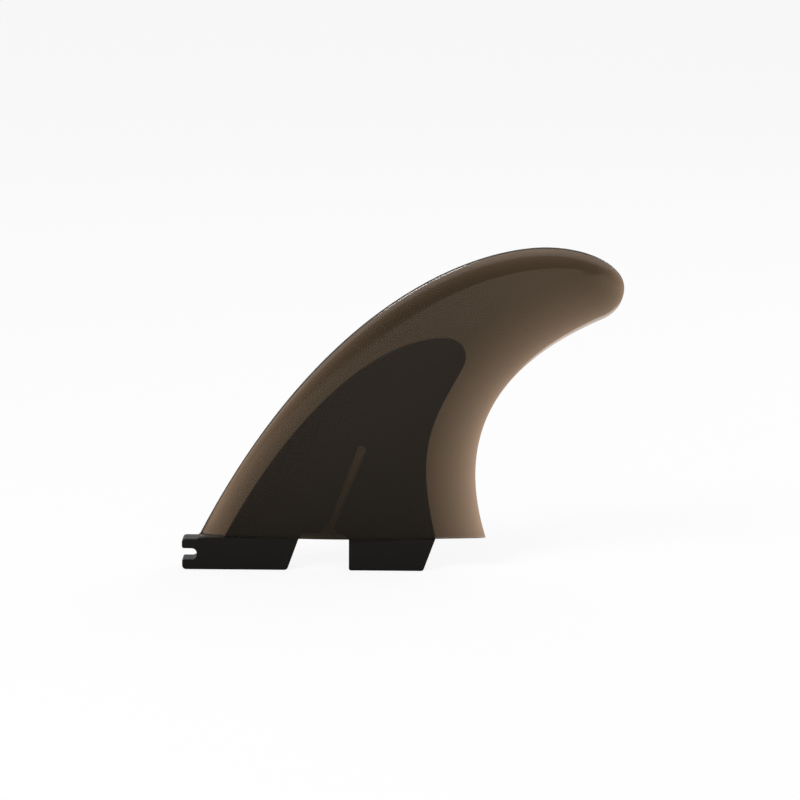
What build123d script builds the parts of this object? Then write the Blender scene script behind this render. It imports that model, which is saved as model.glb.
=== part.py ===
from build123d import *
import math
import os

# A clear-skinned surfboard fin with two plug tabs, in millimetres.
# X runs towards the trailing edge, Z up the fin, and Y through its thickness.
# The origin is the middle of the blade's base chord, on the surface of the board.

# Blade outline. Each edge leaves the base at an angle, and a pull is how far it keeps to that line.
base_chord = 111.0
fin_depth = 114.2
leading_base_angle = 63.0
leading_base_pull = 109.0
crown_rake = 132.0
crown_x = crown_rake - base_chord / 2
crown_pull = 23.7
trailing_base_angle = 107.4
trailing_base_pull = 53.2
tip_hook = 21.9
tip_drop = 27.1
tip_corner_x = crown_x + tip_hook
tip_corner_z = fin_depth - tip_drop
tip_corner_angle = 24.4
tip_corner_pull = 31.7
tip_corner_radius = 12.9
apex_angle = 24.0

# Blade section: an oval nose, a middle, and a tail that thins to a blunt trailing edge.
# The blade is nearly a plate, and swells towards the middle of its base.
plate_thickness = 5.0
crown_thickness = 4.5
base_swelling = 3.4
swelling_height = 95.0
nose_width = 8.6
nose_spread = 11.0
nose_spread_height = 75.0
nose_cut_share = 0.78
nose_base_power_ratio = 0.45
nose_crown_power_ratio = 0.36
nose_chord_share = 0.38
tail_width = 27.0
tail_chord_share = 0.56
tail_base_power_ratio = 0.64
tail_crown_power_ratio = 0.30
trailing_edge_share = 0.12
tip_length_share = 0.12
tip_power_ratio = 0.8

# Sections of the loft, closer together towards the tip
section_count = 16
section_crowding_ratio = 1.6
last_section_share = 0.992
nose_steps = (0.0, 0.25, 0.6, 1.0)
middle_steps = (0.0, 0.33, 0.67, 1.0)
tail_steps = (1.0, 0.4, 0.0)

# Core plate inside the blade, which follows the blade's own section at a share of its thickness
core_thickness_share = 0.7
core_height = 79.1
core_front_x = -45.4
core_front_angle = 61.9
core_front_pull = 57.3
core_top_x = 39.3
core_top_front_pull = 26.2
core_top_rear_pull = 3.3
core_corner_x = 45.3
core_corner_z = 67.4
core_corner_angle = 62.5
core_corner_top_pull = 9.2
core_corner_rear_pull = 21.9
core_rear_x = 35.9
core_rear_angle = 103.4
core_rear_pull = 39.1

# Slanted slot in the core plate, filled by the blade's plastic, and the lip it opens into
slot_foot_x = -6.1
slot_lean = 20.9
slot_length = 39.4
slot_top_width = 3.3
slot_foot_width = 2.2
slot_top_round = 1.4
flare_height = 5.3
flare_front_x = -9.3
flare_front_round = 3.0
flare_rear_x = -2.1
flare_rear_round = 1.2
lip_height = 2.1
lip_front_x = -16.6
lip_rear_x = 2.0
lip_slant = 1.5
lip_round = 0.4

# Plug tabs that go into the board. The front tab's nose reaches out in front of the blade's base.
tab_thickness = 6.2
tab_depth = 12.8
tab_nose_reach = 6.4
tab_nose_x = -base_chord / 2 - tab_nose_reach
tab_nose_drop = 0.4
tab_nose_ramp = 0.5
tab_gap_front_x = -16.8
tab_gap_rear_x = 2.6
tab_lean = 19.6
tab_setback = tab_depth * math.tan(math.radians(tab_lean))
front_tab_round = 1.5
rear_tab_front_round = 0.9
rear_tab_rear_round = 1.2
tab_edge_chamfer = 0.25

# Notch in the front tab's nose, for the pin across the fin box
notch_top = 4.35
notch_height = 4.3
notch_length = 5.7
notch_end_round = 2.0
notch_mouth_round = 0.8


def in_plane(points):
    """Turns (x, z) pairs into points on the fin's middle plane."""
    return [Vector(x, 0, z) for x, z in points]


def pulled(x, z, angle, pull):
    """The point that lies a length off (x, z), at an angle above the X axis."""
    return x + pull * math.cos(math.radians(angle)), z + pull * math.sin(math.radians(angle))


def edge_paths():
    """The leading and trailing edges, each running from the base to the apex of the tip."""
    turn = math.radians(tip_corner_angle)
    rear_x = tip_corner_x + tip_corner_radius * (1 - math.sin(turn))
    rear_z = tip_corner_z + tip_corner_radius * math.cos(turn)
    leading_curve = Bezier(*in_plane([
        (-base_chord / 2, 0),
        pulled(-base_chord / 2, 0, leading_base_angle, leading_base_pull),
        (crown_x - crown_pull, fin_depth),
        (crown_x, fin_depth),
    ]))
    trailing_curve = Bezier(*in_plane([
        (base_chord / 2, 0),
        pulled(base_chord / 2, 0, trailing_base_angle, trailing_base_pull),
        pulled(tip_corner_x, tip_corner_z, tip_corner_angle, -tip_corner_pull),
        (tip_corner_x, tip_corner_z),
    ]))
    crown = Plane.XZ * EllipticalCenterArc(
        (crown_x, rear_z), rear_x - crown_x, fin_depth - rear_z, apex_angle, arc_size=90 - apex_angle
    )
    brow = Plane.XZ * EllipticalCenterArc(
        (crown_x, rear_z), rear_x - crown_x, fin_depth - rear_z, 0, arc_size=apex_angle
    )
    corner = Plane.XZ * CenterArc(
        (rear_x - tip_corner_radius, rear_z), tip_corner_radius, tip_corner_angle - 90, 90 - tip_corner_angle
    )
    return Wire([leading_curve, crown]), Wire([trailing_curve, corner, brow])


def between(at_base, at_crown, z):
    """What changes evenly from the base to the crown, at a height."""
    return at_base + (at_crown - at_base) * z / fin_depth


def half_thickness(z, chord_share):
    """Half the blade's full thickness at a height and a share of the chord."""
    plate = between(plate_thickness, crown_thickness, z)
    fading = max(1 - z / swelling_height, 0) ** 2
    return (plate + base_swelling * fading * math.sin(math.pi * chord_share) ** 3) / 2


def nose_share(along, z):
    """Share of the full thickness at a share of the nose's width: an oval cut a little short."""
    power_ratio = between(nose_base_power_ratio, nose_crown_power_ratio, z)
    full = 1 - (1 - nose_cut_share) ** 2
    return ((1 - (1 - nose_cut_share * along) ** 2) / full) ** power_ratio


def tail_share(along, z):
    """Share of the full thickness at a share of the tail's width, hollower towards the base."""
    power_ratio = between(tail_base_power_ratio, tail_crown_power_ratio, z)
    return trailing_edge_share + (1 - trailing_edge_share) * along ** power_ratio


def soft_minimum(one, other):
    """The smaller of two lengths, with no sudden change where they cross."""
    return (one ** -4 + other ** -4) ** -0.25


def section(leading, trailing, station, thickness_share):
    """One closed foil section, on the chord between the two edges at a share of their lengths."""
    front = leading @ station
    back = trailing @ station
    chord = back - front
    across = chord.normalized()
    nose_slant = abs(math.sin(math.radians(across.get_angle(leading % station))))
    tail_slant = abs(math.sin(math.radians(across.get_angle(trailing % station))))
    spread = nose_spread * max(1 - front.Z / nose_spread_height, 0) ** 2
    nose = soft_minimum((nose_width + spread) / nose_slant, nose_chord_share * chord.length)
    tail = soft_minimum(tail_width / tail_slant, tail_chord_share * chord.length)
    middle = chord.length - nose - tail
    short = max(1 - (1 - station) / tip_length_share, 0)
    tip_share = (1 - short ** 2) ** tip_power_ratio

    def point(along, share):
        place = front + across * along
        full = half_thickness(place.Z, along / chord.length)
        return Vector(place.X, share * tip_share * thickness_share * full, place.Z)

    nose_points = [point(nose * step, nose_share(step, front.Z)) for step in nose_steps]
    middle_points = [point(nose + middle * step, 1) for step in middle_steps]
    tail_points = [point(chord.length - tail * step, tail_share(step, back.Z)) for step in tail_steps]
    side = [Spline(*nose_points), Spline(*middle_points), Spline(*tail_points)]
    other_side = [edge.mirror(Plane.XZ) for edge in side]
    blunt_end = Line(side[-1] @ 1, other_side[-1] @ 1)
    return Wire(side + [blunt_end] + other_side)


def foil(thickness_share):
    """A loft through sections that fan out to the tip, at a share of the blade's thickness."""
    leading, trailing = edge_paths()
    steps = [step / (section_count - 1) for step in range(section_count)]
    stations = [last_section_share * (1 - (1 - step) ** section_crowding_ratio) for step in steps]
    return Solid.make_loft([section(leading, trailing, station, thickness_share) for station in stations])


def core_plate_outline():
    """The core's outline inside the blade, closed along the base."""
    corner = (core_corner_x, core_corner_z)
    front = Bezier(*in_plane([
        (core_front_x, 0),
        pulled(core_front_x, 0, core_front_angle, core_front_pull),
        (core_top_x - core_top_front_pull, core_height),
        (core_top_x, core_height),
    ]))
    top = Bezier(*in_plane([
        (core_top_x, core_height),
        (core_top_x + core_top_rear_pull, core_height),
        pulled(*corner, core_corner_angle, core_corner_top_pull),
        corner,
    ]))
    rear = Bezier(*in_plane([
        corner,
        pulled(*corner, core_corner_angle, -core_corner_rear_pull),
        pulled(core_rear_x, 0, core_rear_angle, core_rear_pull),
        (core_rear_x, 0),
    ]))
    base = Line((core_rear_x, 0, 0), (core_front_x, 0, 0))
    return make_face([front, top, rear, base])


def slot_outline():
    """The slot, its flared foot and the lip along the base, as one outline to cut from the plate."""
    lean = math.radians(slot_lean)

    def beside(along, side):
        width = slot_foot_width + (slot_top_width - slot_foot_width) * along / slot_length
        across = side * width / 2
        x = slot_foot_x + along * math.sin(lean) + across * math.cos(lean)
        return x, along * math.cos(lean) - across * math.sin(lean)

    flare_along = flare_height / math.cos(lean)
    corners = [
        (lip_front_x, -lip_height),
        (lip_front_x, 0),
        (lip_front_x + lip_slant, lip_height),
        (flare_front_x, lip_height),
        beside(flare_along, -1),
        beside(slot_length, -1),
        beside(slot_length, 1),
        beside(flare_along, 1),
        (flare_rear_x, lip_height),
        (lip_rear_x - lip_slant, lip_height),
        (lip_rear_x, 0),
        (lip_rear_x, -lip_height),
    ]
    rounds = [0, 0, lip_round, flare_front_round * 0.7, flare_front_round, slot_top_round]
    rounds += [slot_top_round, flare_rear_round, flare_rear_round * 0.7, lip_round, 0, 0]
    return Plane.XZ * make_face(FilletPolyline(*corners, radius=rounds, close=True))


def through(outline, thickness):
    """Extrudes an outline in the middle plane equally to both sides."""
    return extrude(outline, amount=thickness / 2, dir=(0, 1, 0), both=True)


def core_plate():
    """The plate inside the blade, with the slot cut out of it."""
    outline = core_plate_outline() - slot_outline()
    return through(outline, base_chord) & foil(core_thickness_share)


def side_edges(plate):
    """The edges that run along a plate's two sides, and not those that cross from side to side."""
    return [edge for edge in plate.edges() if (edge @ 0).Y * (edge @ 1).Y > 0]


def front_tab_outline():
    """The front tab from the side, with the pin notch open to the front."""
    notch_end_x = tab_nose_x + notch_length
    notch_bottom = notch_top + notch_height
    ramp_x = -base_chord / 2
    corners = [
        (ramp_x, 0),
        (ramp_x - tab_nose_ramp, -tab_nose_drop),
        (tab_nose_x, -tab_nose_drop),
        (tab_nose_x, -notch_top),
        (notch_end_x, -notch_top),
        (notch_end_x, -notch_bottom),
        (tab_nose_x, -notch_bottom),
        (tab_nose_x, -tab_depth),
        (tab_gap_front_x - tab_setback, -tab_depth),
        (tab_gap_front_x, 0),
    ]
    rounds = [0, 0, front_tab_round]
    rounds += [notch_mouth_round, notch_end_round, notch_end_round, notch_mouth_round]
    rounds += [front_tab_round, front_tab_round, 0]
    return Plane.XZ * make_face(FilletPolyline(*corners, radius=rounds, close=True))


def rear_tab_outline():
    """The rear tab from the side."""
    corners = [
        (tab_gap_rear_x, 0),
        (tab_gap_rear_x, -tab_depth),
        (core_rear_x - tab_setback, -tab_depth),
        (core_rear_x, 0),
    ]
    rounds = [0, rear_tab_front_round, rear_tab_rear_round, 0]
    return Plane.XZ * make_face(FilletPolyline(*corners, radius=rounds, close=True))


def plug_tab(outline):
    """One tab with its edges chamfered, left square only along its root under the blade."""
    square = through(outline, tab_thickness)
    under_blade = Box(
        base_chord, tab_thickness, tab_edge_chamfer, align=(Align.CENTER, Align.CENTER, Align.MAX)
    )
    return chamfer(side_edges(square), tab_edge_chamfer) + (square & under_blade)


def core():
    """The stiff core: its plate and both tabs, moulded in one."""
    return core_plate() + plug_tab(front_tab_outline()) + plug_tab(rear_tab_outline())


def main():
    os.makedirs("parts", exist_ok=True)
    tab_core = core()
    blade = foil(1) - tab_core
    export_step(tab_core, "parts/tab_core.step")
    export_step(blade, "parts/blade.step")


main()
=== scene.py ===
import math
from bisect import bisect_right

import bmesh
import bpy
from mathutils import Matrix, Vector
from mathutils.geometry import interpolate_bezier


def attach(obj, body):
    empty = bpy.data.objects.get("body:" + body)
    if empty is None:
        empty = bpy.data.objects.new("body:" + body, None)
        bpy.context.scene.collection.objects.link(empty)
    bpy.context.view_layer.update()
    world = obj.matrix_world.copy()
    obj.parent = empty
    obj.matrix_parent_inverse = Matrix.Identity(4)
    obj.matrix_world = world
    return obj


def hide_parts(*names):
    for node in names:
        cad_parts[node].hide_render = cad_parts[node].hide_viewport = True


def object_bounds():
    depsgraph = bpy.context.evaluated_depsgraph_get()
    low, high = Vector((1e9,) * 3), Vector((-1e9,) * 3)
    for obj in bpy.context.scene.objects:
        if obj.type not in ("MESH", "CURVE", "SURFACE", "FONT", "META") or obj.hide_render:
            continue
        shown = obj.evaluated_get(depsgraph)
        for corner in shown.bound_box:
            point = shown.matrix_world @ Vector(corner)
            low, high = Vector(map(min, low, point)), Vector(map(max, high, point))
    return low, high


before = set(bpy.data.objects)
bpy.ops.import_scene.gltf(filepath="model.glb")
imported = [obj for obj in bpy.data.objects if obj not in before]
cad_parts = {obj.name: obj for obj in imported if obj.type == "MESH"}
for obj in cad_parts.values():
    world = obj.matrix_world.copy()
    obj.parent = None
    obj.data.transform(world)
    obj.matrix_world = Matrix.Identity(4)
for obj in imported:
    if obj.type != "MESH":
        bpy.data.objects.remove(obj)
cad_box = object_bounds()


# Core and plug tabs: one stiff black moulding, with a fine grained skin from the mould that is
# rubbed paler in soft patches. It is moulded first, and the blade is moulded over it.

class Shade:
    """A value in a shader's tree. Maths on it adds Math nodes, and add() adds any other node."""

    def __init__(self, tree, socket=None):
        self.tree = tree
        self.socket = socket

    def add(self, kind, settings=None, sockets=None, output=0):
        """Adds a node: its settings first, then its sockets, each a number, a colour or a link."""
        node = self.tree.nodes.new("ShaderNode" + kind)
        for name, setting in (settings or {}).items():
            setattr(node, name, setting)
        for name, value in (sockets or {}).items():
            if isinstance(value, Shade):
                self.tree.links.new(value.socket, node.inputs[name])
            else:
                node.inputs[name].default_value = value
        return Shade(self.tree, node.outputs[output] if len(node.outputs) else None)

    def maths(self, operation, first, second):
        return self.add("Math", {"operation": operation}, {0: first, 1: second})

    def __add__(self, other):
        return self.maths("ADD", self, other)

    def __mul__(self, other):
        return self.maths("MULTIPLY", self, other)

    def __pow__(self, other):
        return self.maths("POWER", self, other)

    def __rpow__(self, other):
        return self.maths("POWER", other, self)

    __radd__ = __add__
    __rmul__ = __mul__


def empty_tree(owner):
    """Clears the shader tree of a material or world, ready for its own nodes."""
    owner.use_nodes = True
    owner.node_tree.nodes.clear()
    return Shade(owner.node_tree)


def noise(shade, place, scale, detail=2.0):
    """Smooth noise from 0 to 1, with a scale in waves per metre."""
    return shade.add("TexNoise", sockets={"Vector": place, "Scale": scale, "Detail": detail})


black = (0.0055, 0.0050, 0.0042, 1)
black_rubbed = (0.0075, 0.0069, 0.0060, 1)
grain_per_metre = 5200
grain_strength = 0.3
grain_depth = 0.00004
flow_per_metre = 60
flow_share = 0.7
core_roughness = 0.42
core_roughness_change = 0.1
core_shine = 0.25

core_material = bpy.data.materials.new("black_plastic")
tree = empty_tree(core_material)
place = tree.add("TexCoord", output="Object")
grain = noise(tree, place, grain_per_metre)
flow = noise(tree, place, flow_per_metre, detail=4.0)
rubbed = flow * flow_share + grain * (1 - flow_share)
colour = tree.add("Mix", {"data_type": "RGBA"}, {0: rubbed, 6: black, 7: black_rubbed}, output=2)
skin = tree.add("Bump", sockets={
    "Height": grain, "Strength": grain_strength, "Distance": grain_depth
})
plastic = tree.add("BsdfPrincipled", sockets={
    "Base Color": colour,
    "Roughness": core_roughness + flow * core_roughness_change,
    "Specular IOR Level": core_shine,
    "Normal": skin,
})
tree.add("OutputMaterial", sockets={"Surface": plastic})
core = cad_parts["tab_core"]
core.data.materials.clear()
core.data.materials.append(core_material)


# Blade: clear smoke-brown plastic moulded over the core, so the core shows through it as a darker
# shape and the thin edges glow. Its foil is a loft through chords that fan from base to tip.

base_chord = 0.111
fin_depth = 0.1142
leading_base = Vector((-base_chord / 2, 0, 0))
leading_base_angle = math.radians(63)
leading_base_pull = 0.109
crown_rake = 0.132
crown = Vector((crown_rake - base_chord / 2, 0, fin_depth))
crown_pull = 0.0237
trailing_base = Vector((base_chord / 2, 0, 0))
trailing_base_angle = math.radians(107.4)
trailing_base_pull = 0.0532
tip_corner = crown + Vector((0.0219, 0, -0.0271))
tip_corner_angle = math.radians(24.4)
tip_corner_pull = 0.0317
tip_corner_radius = 0.0129
apex_angle = math.radians(24)

plate_thickness = 0.0050
crown_thickness = 0.0045
base_swelling = 0.0034
swelling_height = 0.095
swelling_power = 3
nose_width = 0.0086
nose_spread = 0.011
nose_spread_height = 0.075
nose_cut = 0.78
nose_base_power = 0.45
nose_crown_power = 0.36
nose_chord_share = 0.38
tail_width = 0.027
tail_chord_share = 0.56
tail_base_power = 0.64
tail_crown_power = 0.30
trailing_edge_share = 0.12
trailing_edge_round = 0.0004
trailing_round_limit = 0.1
trailing_round_power = 0.5
tip_length_share = 0.12
tip_power = 0.8
blend_power = 4

section_count = 150
section_crowding = 1.6
last_section = 0.9992
nose_points = 18
nose_end_gap = 0.02
middle_points = 9
tail_points = 18
round_points = 5
bow_steps = 500
oval_steps = 200


def direction(angle):
    return Vector((math.cos(angle), 0, math.sin(angle)))


def bow(start, first_handle, second_handle, end):
    """A cubic curve as closely spaced points."""
    return interpolate_bezier(start, first_handle, second_handle, end, bow_steps)


def oval(centre, across, up, start, end):
    """Part of an ellipse in the middle plane as closely spaced points."""
    turns = [start + (end - start) * step / oval_steps for step in range(oval_steps + 1)]
    return [centre + Vector((across * math.cos(turn), 0, up * math.sin(turn))) for turn in turns]


brow_centre = Vector((
    crown.x,
    0,
    tip_corner.z + tip_corner_radius * math.cos(tip_corner_angle),
))
brow_across = tip_corner.x + tip_corner_radius * (1 - math.sin(tip_corner_angle)) - crown.x
brow_up = fin_depth - brow_centre.z
corner_centre = brow_centre + Vector((brow_across - tip_corner_radius, 0, 0))
leading_edge = bow(
    leading_base,
    leading_base + direction(leading_base_angle) * leading_base_pull,
    crown - Vector((crown_pull, 0, 0)),
    crown,
) + oval(brow_centre, brow_across, brow_up, math.pi / 2, apex_angle)[1:]
trailing_edge = bow(
    trailing_base,
    trailing_base + direction(trailing_base_angle) * trailing_base_pull,
    tip_corner - direction(tip_corner_angle) * tip_corner_pull,
    tip_corner,
)
trailing_edge += oval(
    corner_centre, tip_corner_radius, tip_corner_radius, tip_corner_angle - math.pi / 2, 0
)[1:]
trailing_edge += oval(brow_centre, brow_across, brow_up, 0, apex_angle)[1:]


def along(path, share):
    """The point and the direction at a share of a path's length."""
    lengths = [0.0]
    for one, other in zip(path, path[1:]):
        lengths.append(lengths[-1] + (other - one).length)
    reach = share * lengths[-1]
    step = min(bisect_right(lengths, reach) - 1, len(path) - 2)
    part = (reach - lengths[step]) / (lengths[step + 1] - lengths[step])
    return path[step].lerp(path[step + 1], part), (path[step + 1] - path[step]).normalized()


def soft_minimum(one, other):
    """The smaller of two lengths, with a smooth change from one to the other."""
    return (one ** -blend_power + other ** -blend_power) ** (-1 / blend_power)


def between(at_base, at_crown, point):
    """What changes evenly from the base to the crown, at a point's height."""
    return at_base + (at_crown - at_base) * point.z / fin_depth


def half_section(station):
    """One side of a foil section, from the leading to the trailing edge, as points with Y up."""
    front, front_way = along(leading_edge, station)
    back, back_way = along(trailing_edge, station)
    chord = (back - front).length
    across = (back - front).normalized()
    spread = nose_spread * max(1 - front.z / nose_spread_height, 0) ** 2
    nose = soft_minimum(
        (nose_width + spread) / across.cross(front_way).length, nose_chord_share * chord
    )
    tail = soft_minimum(tail_width / across.cross(back_way).length, tail_chord_share * chord)
    short = max(1 - (1 - station) / tip_length_share, 0)
    tip_share = (1 - short ** 2) ** tip_power
    nose_power = between(nose_base_power, nose_crown_power, front)
    tail_power = between(tail_base_power, tail_crown_power, back)
    full = 1 - (1 - nose_cut) ** 2

    def share_at(reach):
        """Share of the full thickness, a length back from the leading edge."""
        nose_reach = min(reach / nose, 1)
        nose_share = ((1 - (1 - nose_cut * nose_reach) ** 2) / full) ** nose_power
        tail_reach = min(max((chord - reach) / tail, 0), 1)
        tail_share = trailing_edge_share + (1 - trailing_edge_share) * tail_reach ** tail_power
        return min(nose_share, 1) * tail_share

    def side_point(reach, share):
        point = front + across * reach
        plate = between(plate_thickness, crown_thickness, point)
        fading = max(1 - point.z / swelling_height, 0) ** 2
        hump = max(math.sin(math.pi * reach / chord), 0) ** swelling_power
        thickness = plate + base_swelling * fading * hump
        return Vector((point.x, share * tip_share * thickness / 2, point.z))

    rounding = min(trailing_edge_round, tail * trailing_round_limit)
    reaches = [nose * (step / nose_points) ** 2 for step in range(nose_points)]
    reaches += [nose * (1 - nose_end_gap), nose, nose * (1 + nose_end_gap)]
    middle = chord - tail - nose
    reaches += [nose + middle * (step + 0.5) / middle_points for step in range(middle_points)]
    reaches += [
        chord - rounding - (tail - rounding) * (1 - step / tail_points) ** 2
        for step in range(tail_points + 1)
    ]
    points = [side_point(reach, share_at(reach)) for reach in reaches]
    blunt = share_at(chord - rounding)
    for step in range(1, round_points + 1):
        turn = math.pi / 2 * step / round_points
        reach = chord - rounding + rounding * math.sin(turn) ** trailing_round_power
        share = blunt * max(math.cos(turn), 0) ** trailing_round_power
        points.append(side_point(reach, share))
    return points


def mirrored(points):
    return [Vector((point.x, -point.y, point.z)) for point in points]


base_overlap = 0.00002
base_rim_round = 0.00025
base_rim_steps = 3
cavity_overlap = 0.00003
weld_distance = 0.000001
sharp_angle = math.radians(28)


def foil_mesh():
    """The blade's outside: rings of foil sections, closed across its base and its apex."""
    mesh = bmesh.new()
    rings = []
    for step in range(section_count):
        station = last_section * (1 - (1 - step / (section_count - 1)) ** section_crowding)
        side = half_section(station)
        rings.append([mesh.verts.new(point) for point in side + mirrored(side[-2:0:-1])])
    for lower, upper in zip(rings, rings[1:]):
        for near in range(len(lower)):
            mesh.faces.new((lower[near], lower[near - 1], upper[near - 1], upper[near]))
    for ring in (rings[0], rings[-1]):
        for near in range(len(ring) // 2):
            corners = (ring[near], ring[near + 1], ring[-near - 1], ring[-near])
            mesh.faces.new(dict.fromkeys(corners))
    for corner in rings[0]:
        corner.co.z -= base_overlap
    bmesh.ops.recalc_face_normals(mesh, faces=mesh.faces)
    rim = {mesh.edges.get((rings[0][near], rings[0][near - 1])) for near in range(len(rings[0]))}
    bmesh.ops.bevel(
        mesh,
        geom=list(rim),
        offset=base_rim_round,
        segments=base_rim_steps,
        profile=0.5,
        affect="EDGES",
    )
    return mesh


def cavity_mesh():
    """The core's own shape drawn in a little, so that its skin lies just inside the plastic."""
    mesh = bmesh.new()
    mesh.from_mesh(core.data)
    bmesh.ops.remove_doubles(mesh, verts=mesh.verts, dist=weld_distance)
    bmesh.ops.recalc_face_normals(mesh, faces=mesh.faces)
    mesh.normal_update()
    moves = [(corner, corner.normal * corner.calc_shell_factor()) for corner in mesh.verts]
    for corner, outward in moves:
        corner.co -= outward * cavity_overlap
    return mesh


def new_object(name, mesh):
    """Puts a mesh into the scene as an object."""
    data = bpy.data.meshes.new(name)
    mesh.to_mesh(data)
    mesh.free()
    made = bpy.data.objects.new(name, data)
    bpy.context.scene.collection.objects.link(made)
    return made


blade = new_object("foil", foil_mesh())
cavity = new_object("cavity", cavity_mesh())
hollow = blade.modifiers.new("hollow", "BOOLEAN")
hollow.operation = "DIFFERENCE"
hollow.solver = "EXACT"
hollow.object = cavity
hollowed = bpy.data.meshes.new_from_object(
    blade.evaluated_get(bpy.context.evaluated_depsgraph_get())
)
blade.modifiers.clear()
blade.data = hollowed
bpy.data.objects.remove(cavity)
hollowed.shade_smooth()
hollowed.set_sharp_from_angle(angle=sharp_angle)

# The tint is deepest above the core's top, and pales away from there.
tan = (0.985, 0.827, 0.772, 1)
tan_deep = (0.75, 0.629, 0.588, 1)
deep_spot = (0.028, 0.0, 0.088)
deep_start = 0.01
deep_reach = 0.065
passed = (0.452, 0.444, 0.402, 1)
absorbed_per_metre = 1000
satin_per_metre = 2600
satin_strength = 0.03
satin_depth = 0.00002
clouds_per_metre = 45
cloud_drift = 0.01
blade_roughness = 0.09
blade_roughness_change = 0.05
blade_bending = 1.46


def eased(shade, value, start, end):
    """Goes smoothly from 0 to 1 as a value goes from a start to an end."""
    return shade.add("MapRange", {"interpolation_type": "SMOOTHSTEP"}, {
        "Value": value, "From Min": start, "From Max": end
    })


blade_material = bpy.data.materials.new("smoke_plastic")
tree = empty_tree(blade_material)
place = tree.add("TexCoord", output="Object")
satin = noise(tree, place, satin_per_metre)
clouds = noise(tree, place, clouds_per_metre, detail=3.0)
away = tree.add(
    "VectorMath", {"operation": "DISTANCE"}, {0: place, 1: deep_spot}, output="Value"
)
fading = eased(tree, away + clouds * cloud_drift, deep_start, deep_reach)
colour = tree.add("Mix", {"data_type": "RGBA"}, {0: fading, 6: tan_deep, 7: tan}, output=2)
skin = tree.add("Bump", sockets={
    "Height": satin, "Strength": satin_strength, "Distance": satin_depth
})
plastic = tree.add("BsdfPrincipled", sockets={
    "Base Color": colour,
    "Roughness": blade_roughness + clouds * blade_roughness_change,
    "IOR": blade_bending,
    "Transmission Weight": 1.0,
    "Normal": skin,
})
smoke = tree.add("VolumeAbsorption", sockets={"Color": passed, "Density": absorbed_per_metre})
tree.add("OutputMaterial", sockets={"Surface": plastic, "Volume": smoke})
hollowed.materials.clear()
hollowed.materials.append(blade_material)
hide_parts("blade")
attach(blade, "root")


# Photo stage: a white sweep of floor, which the fin stands on by its tabs, and soft lamps overhead.
# The room in front of the sweep is dim, and only the gloss of the blade and tabs shows it.

def ray_kind(shade, name):
    """1 for the rays of one kind, and 0 for all others."""
    return shade.add("LightPath", output=name)


tab_foot = cad_box[0].z
floor_reach = 8.0
floor_corners = 96
floor_white = (0.82, 0.82, 0.82, 1)
floor_glow = 0.85
floor_gloss = (0.745, 0.62, 0.49)
gloss_reach = 0.5
gloss_power = 0.33
sweep_front = 0.65
sweep_back = 0.05
room_front = 0.85

floor_material = bpy.data.materials.new("white_floor")
tree = empty_tree(floor_material)
place = tree.add("TexCoord", output="Object")
depth = tree.add("SeparateXYZ", sockets={"Vector": place}, output="Y")
# In reflections the floor glows in a warm colour. This is a painted reflection, with painted shade
# close in front of the fin. It grows brighter further out, goes dark again where the dim room
# starts, and is full behind the fin.
nearness = tree.add(
    "Math", {"operation": "MULTIPLY", "use_clamp": True}, {0: depth, 1: -1 / gloss_reach}
)
brightness = nearness ** gloss_power * eased(tree, depth, -room_front, -sweep_front)
brightness = tree.maths("MAXIMUM", brightness, eased(tree, depth, 0.0, sweep_back))
mirrored_floor = tree.add(
    "VectorMath", {"operation": "SCALE"}, {0: floor_gloss, "Scale": brightness}
)
paper = tree.add("BsdfDiffuse", sockets={"Color": floor_white})
glow = tree.add("Emission", sockets={"Color": (1, 1, 1, 1), "Strength": 1.0})
lit = tree.add("MixShader", sockets={
    0: ray_kind(tree, "Is Camera Ray") * floor_glow + ray_kind(tree, "Is Transmission Ray"),
    1: paper,
    2: glow,
})
gloss = tree.add("Emission", sockets={"Color": mirrored_floor})
surface = tree.add("MixShader", sockets={0: ray_kind(tree, "Is Glossy Ray"), 1: lit, 2: gloss})
tree.add("OutputMaterial", sockets={"Surface": surface})
mesh = bmesh.new()
bmesh.ops.create_circle(mesh, cap_ends=True, segments=floor_corners, radius=floor_reach)
floor = new_object("floor", mesh)
floor.location.z = tab_foot
floor.data.materials.append(floor_material)

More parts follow.
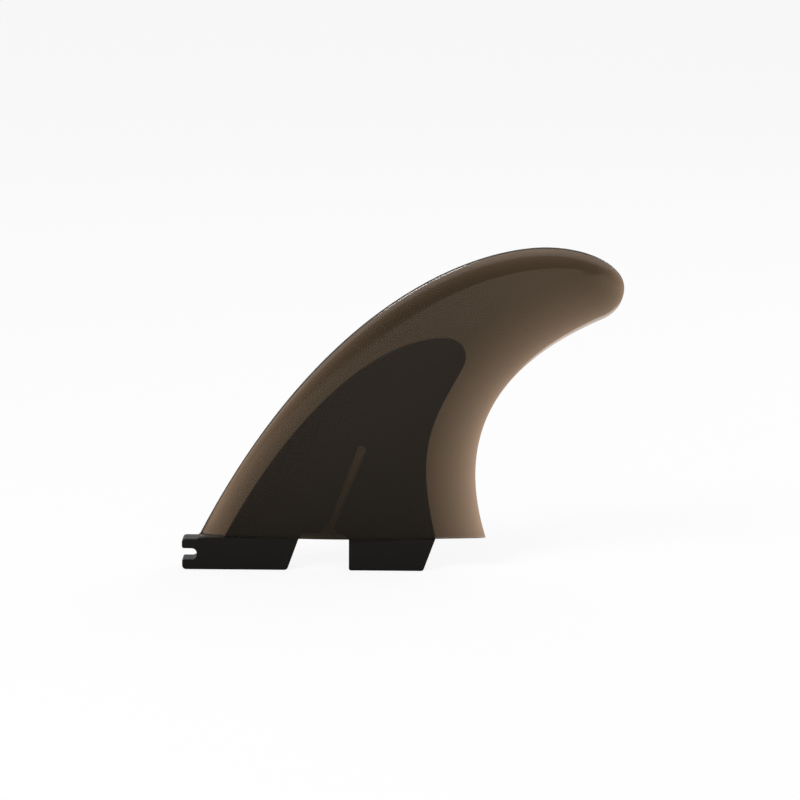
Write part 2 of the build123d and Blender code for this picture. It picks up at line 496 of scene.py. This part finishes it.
soft_sky = 0.65
room_dark = (0.03, 0.025, 0.02, 1)
dim_backward = (0.1, -0.2)
dim_upward = (0.26, 0.14)

world = bpy.data.worlds.new("studio")
bpy.context.scene.world = world
tree = empty_tree(world)
way = tree.add("TexCoord", output="Generated")
backward = tree.add("SeparateXYZ", sockets={"Vector": way}, output="Y")
upward = tree.add("SeparateXYZ", sockets={"Vector": way}, output="Z")
glossy = ray_kind(tree, "Is Glossy Ray")
straight = ray_kind(tree, "Is Camera Ray") + ray_kind(tree, "Is Transmission Ray") + glossy
sky = tree.add("Background", sockets={
    "Color": (1, 1, 1, 1), "Strength": soft_sky + straight * (1 - soft_sky)
})
room = tree.add("Background", sockets={"Color": room_dark, "Strength": 1.0})
dim = eased(tree, backward, *dim_backward) * eased(tree, upward, *dim_upward) * glossy
tree.add("OutputWorld", sockets={
    "Surface": tree.add("MixShader", sockets={0: dim, 1: sky, 2: room})
})

lamp_aim = Vector((0.02, 0, 0.04))
for name, place_at, size, watts in (
    ("key_lamp", (-0.55, -0.55, 0.95), 0.5, 7.0),
    ("fill_lamp", (0.75, 0.35, 0.70), 0.6, 3.0),
):
    lamp = bpy.data.lights.new(name, "AREA")
    lamp.shape = "DISK"
    lamp.size = size
    lamp.energy = watts
    lamp_object = bpy.data.objects.new(name, lamp)
    lamp_object.location = place_at
    beam = lamp_aim - Vector(place_at)
    lamp_object.rotation_euler = beam.to_track_quat("-Z", "Y").to_euler()
    bpy.context.scene.collection.objects.link(lamp_object)


# Camera: where the photo was taken from, a little above the fin and square to its side. Its place
# and lens come from a fit to the fin's outline, with the photo's own half degree of lean.

camera_data = bpy.data.cameras.new("camera")
camera_data.sensor_width = 36
camera_data.lens = 105.8
camera = bpy.data.objects.new("camera", camera_data)
camera.location = (0.01995, -0.87011, 0.27161)
camera.rotation_euler = (math.radians(76), math.radians(-0.5), 0)
bpy.context.scene.collection.objects.link(camera)
bpy.context.scene.camera = camera
bpy.context.scene.view_settings.view_transform = "Standard"
